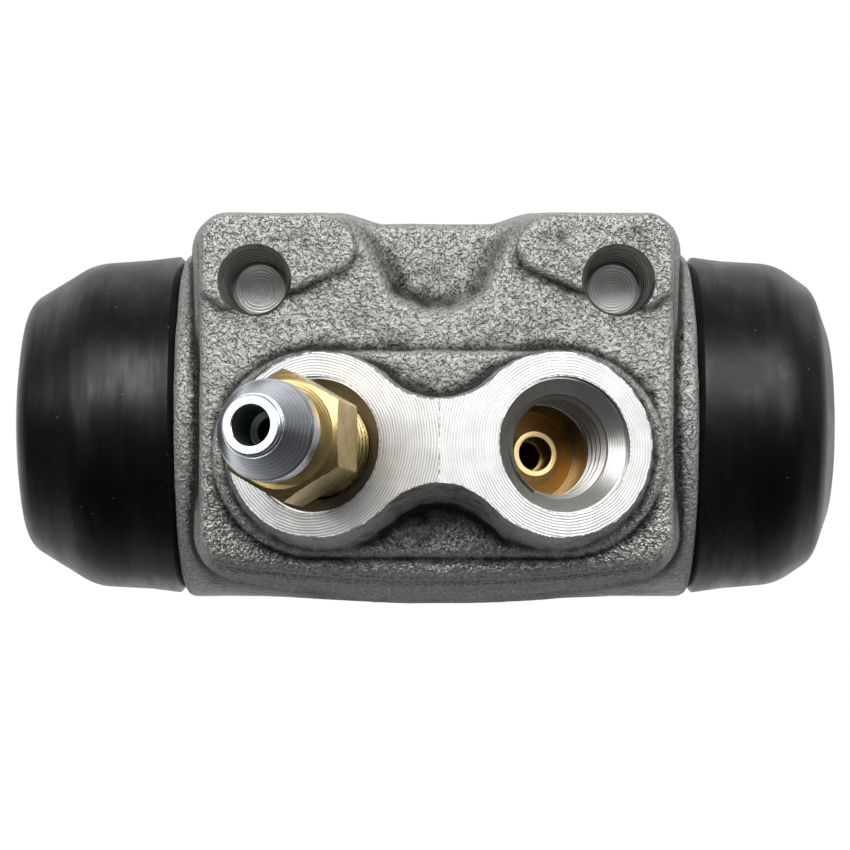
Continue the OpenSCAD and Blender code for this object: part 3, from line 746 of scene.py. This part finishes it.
def piston(side, reach, name):
    """Turned piston with a groove for the boot's lip and a slot for the brake shoe."""
    land_r, land_end, nose = BORE_R - 0.05, 31, BOOT_END - 0.3
    nose_r, groove_r = 7, 6
    path = [(PISTON_FACE, 0, 0), (PISTON_FACE, land_r - 0.5, 0), (PISTON_FACE + 0.5, land_r, 0),
            (land_end - 0.5, land_r, 0), (land_end, land_r - 0.5, 0), (land_end + 2.5, 8.2, 1),
            (nose - 3.8, nose_r, 0), (nose - 3.8, groove_r, 0.2), (nose - 1.8, groove_r, 0.2),
            (nose - 1.8, nose_r, 0.15), (nose - 0.5, nose_r, 0.2), (nose, nose_r - 0.5, 0.2), (nose, 0, 0)]
    place = bore_place(side, reach)
    obj = turned(name + "_turned", path, place)
    slot = box("slot_cutter", (-12, -SLOT_W / 2, nose - 5.4), (12, SLOT_W / 2, nose + 3), place)
    carve(obj, slot)
    crease(obj, 32)
    stand_for(obj, ALUMINIUM, name, name)


def dust_boot(side, reach, name):
    """Moulded boot: a bead in the barrel's groove, a tapered wall, a sloped shoulder and a lip on the piston."""
    start, end = BARREL_HALF + 0.05, BOOT_END + reach
    mouth_r, lip_r, bead_r = 7.3, 6.12, GROOVE_R + 0.1
    path = [(start, BOOT_LIP_R - 0.65, 0.1), (start + 0.6, BOOT_LIP_R, 0.2), (30, BOOT_LIP_R - 0.4, 8),
            (35.6 + 0.11 * reach, 16.95 + 0.02 * reach, 6), (39.3 + 1.39 * reach, 14.35 - 0.61 * reach, 3),
            (end - 0.2, 10.2 - 0.26 * reach, 1.5), (end, mouth_r, 0.3), (end - 2.15, mouth_r, 0),
            (end - 2.15, lip_r, 0.3), (end - 3.9, lip_r, 0.3), (end - 3.9, 7.7, 0.4),
            (end - 2.2, 9.6 - 0.4 * reach, 1), (38.1 + reach, 13.1 - 0.5 * reach, 1.5), (35, 15, 2),
            (31.5, 15.5, 0), (start + 2.7, 15.4, 0), (start + 2.1, bead_r, 0), (start, bead_r, 0)]

    def wave(height, angle):
        return 0.05 * math.sin(2 * angle + side + 0.3 * height) + 0.03 * math.sin(5 * angle + 0.5 * height)

    boot = turned(name + "_rubber", path, bore_place(side), 192, 8, 40, wave)
    boot.data.materials.append(RUBBER)
    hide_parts(name)
    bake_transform(boot)


def spring_half(side, name):
    """Half of the return spring, from its middle to one expander, with the end coils drawn together."""
    sides, per_turn, close = 10, 32, 0.62
    ends = [-(EXPANDER_FACE + LEFT_REACH - WIRE_R - 0.05), EXPANDER_FACE - WIRE_R - 0.05]
    rings = COILS * per_turn // 2
    first = rings if side > 0 else 0
    points, faces = [], []
    for i in range(first, first + rings + 1):
        t = i / (2 * rings)
        turn = 2 * math.pi * COILS * t
        along = ends[0] + (ends[1] - ends[0]) * (t - close * math.sin(2 * math.pi * t) / (2 * math.pi))
        for k in range(sides):
            angle = 2 * math.pi * k / sides
            r = COIL_R + WIRE_R * math.cos(angle)
            points.append((along + WIRE_R * math.sin(angle), r * math.cos(turn), r * math.sin(turn)))
    for i in range(rings):
        for k in range(sides):
            q = (k + 1) % sides
            faces.append((sides * i + k, sides * (i + 1) + k, sides * (i + 1) + q, sides * i + q))
    faces += [tuple(range(sides)), tuple(range(sides * (rings + 1) - 1, sides * rings - 1, -1))]
    spring = mesh_object(name, points, faces, Matrix.Translation((0, BORE_Y, BORE_Z)), 60)
    spring.data.materials.append(PRESSED)
    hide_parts("return_spring")
    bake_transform(spring)


# Assembly

cast_body()
for side, name in SIDES:
    thread(f"mount_thread_{name}", hole_place(side), HOLE_R + 0.35, HOLE_R + 0.22, 0.9, HOLE_DEPTH - 0.4,
           HOLE_THREAD_SHADED[side], "cylinder", pitch=1.4, taper=-0.064, flank=0.3, wear_and_painted_light=HOLE_END_LIT[side])
thread("inlet_thread", port_place(1), PORT_R + 0.08, PORT_R - 0.34, THREAD_END + 0.4, THREAD_Z - 0.1,
       THREAD_ROOT_SHADED, "cylinder", pitch=1.2, flank=0.34, wear_and_painted_light=PORT_BORE[1])
bleed_screw()
bleed_nipple()
tube_seat()
piston(-1, LEFT_REACH, "left_piston")
piston(1, 0, "right_piston")
dust_boot(-1, LEFT_REACH, "left_dust_boot")
dust_boot(1, 0, "right_dust_boot")
spring_half(-1, "return_spring_left")
spring_half(1, "return_spring_right")
for node, material in (("left_cup_seal", SEAL), ("right_cup_seal", SEAL), ("left_cup_expander", PRESSED),
                       ("right_cup_expander", PRESSED)):
    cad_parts[node].data.materials.clear()
    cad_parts[node].data.materials.append(material)


# Floor, light and camera


def lamp(name, spot, aim, size, power):
    """Rectangular area lamp in metres and watts, hidden from the camera."""
    light = bpy.data.lights.new(name, "AREA")
    light.shape = "RECTANGLE"
    light.size, light.size_y = size
    light.energy = power
    obj = bpy.data.objects.new(name, light)
    obj.location = spot
    obj.rotation_euler = (Vector(aim) - Vector(spot)).to_track_quat("-Z", "Y").to_euler()
    obj.visible_camera = False
    bpy.context.scene.collection.objects.link(obj)


def stage_floor():
    """White floor that shines to the eye and, behind the object, in mirrors, and still takes the shadow."""
    n = Nodes(bpy.data.materials.new("floor_white"))
    path = n.add("LightPath")
    n.finish(Base_Color=n.mix(path.outputs["Is Camera Ray"], grey(0.03), grey(0.15)), Roughness=0.8)
    far = n.add("SeparateXYZ", n.add("NewGeometry").outputs["Position"]).outputs["Y"]
    mirrored = n.math("MAXIMUM", path.outputs["Is Glossy Ray"], path.outputs["Is Transmission Ray"])
    mirrored = n.math("MULTIPLY", mirrored, n.step(far, -0.05, 0.2))
    shown = n.math("MULTIPLY", n.math("MAXIMUM", path.outputs["Is Camera Ray"], mirrored), 0.9)
    scattered = n.math("MULTIPLY", path.outputs["Is Diffuse Ray"], n.step(far, -0.2, 0.05))
    glow = n.add("Emission", grey(1.0), n.math("MULTIPLY_ADD", scattered, 0.45, shown))
    seen = n.add("AddShader", n.shader.outputs[0], glow.outputs[0])
    n.tree.links.new(seen.outputs[0], n.tree.nodes["Material Output"].inputs["Surface"])
    reach, level = 2.0, -0.14
    mesh = bpy.data.meshes.new("floor")
    corners = [(a * reach, b * reach, level) for a, b in ((-1, -1), (1, -1), (1, 1), (-1, 1))]
    mesh.from_pydata(corners, [], [(0, 1, 2, 3)])
    mesh.materials.append(n.owner)
    floor = bpy.data.objects.new("floor", mesh)
    bpy.context.scene.collection.objects.link(floor)


def light_tent():
    """White to the eye everywhere; to the object it is pale behind, dim above and dark in front."""
    world = bpy.data.worlds.new("tent")
    bpy.context.scene.world = world
    n = Nodes(world)
    way = n.add("SeparateXYZ", n.add("TexCoord").outputs["Generated"])
    behind = n.step(way.outputs["Y"], -0.35, 0.65)
    above = n.math("MULTIPLY", n.step(way.outputs["Z"], 0.3, 1.0), 0.2)
    level = n.math("ADD", n.math("ADD", behind, above), 0.005)
    back = n.tree.nodes["Background"]
    n.put(back.inputs["Strength"], n.math("MAXIMUM", n.add("LightPath").outputs["Is Camera Ray"], level))
    back.inputs["Color"].default_value = grey(1.0)
    aim = (0, 0, -0.013)
    lamp("key", (0.015, -0.215, 0.135), aim, (0.4, 0.15), 0.97)
    lamp("right", (0.42, -0.55, 0.08), aim, (0.25, 0.22), 0.31)
    lamp("left", (-0.45, -0.55, 0.10), aim, (0.25, 0.22), 0.45)
    for side, _ in SIDES:
        lamp("panel", (side * 0.45, -0.30, 0.21), aim, (0.3, 0.25), 0.68)


def photo_camera():
    """The camera that was fitted to the photo."""
    data = bpy.data.cameras.new("photo")
    data.sensor_width = SENSOR_MM
    data.lens = SENSOR_MM * FOCAL_PX / PICTURE_PX
    data.clip_start = 0.01
    obj = bpy.data.objects.new("photo", data)
    obj.location = [MM * v for v in CAMERA_SPOT]
    obj.rotation_euler = (math.pi / 2 + math.atan(TILT_PX / FOCAL_PX), 0, math.atan(TURN_PX / FOCAL_PX))
    bpy.context.scene.collection.objects.link(obj)
    bpy.context.scene.camera = obj


stage_floor()
light_tent()
photo_camera()
bpy.context.scene.view_settings.view_transform = "Standard"
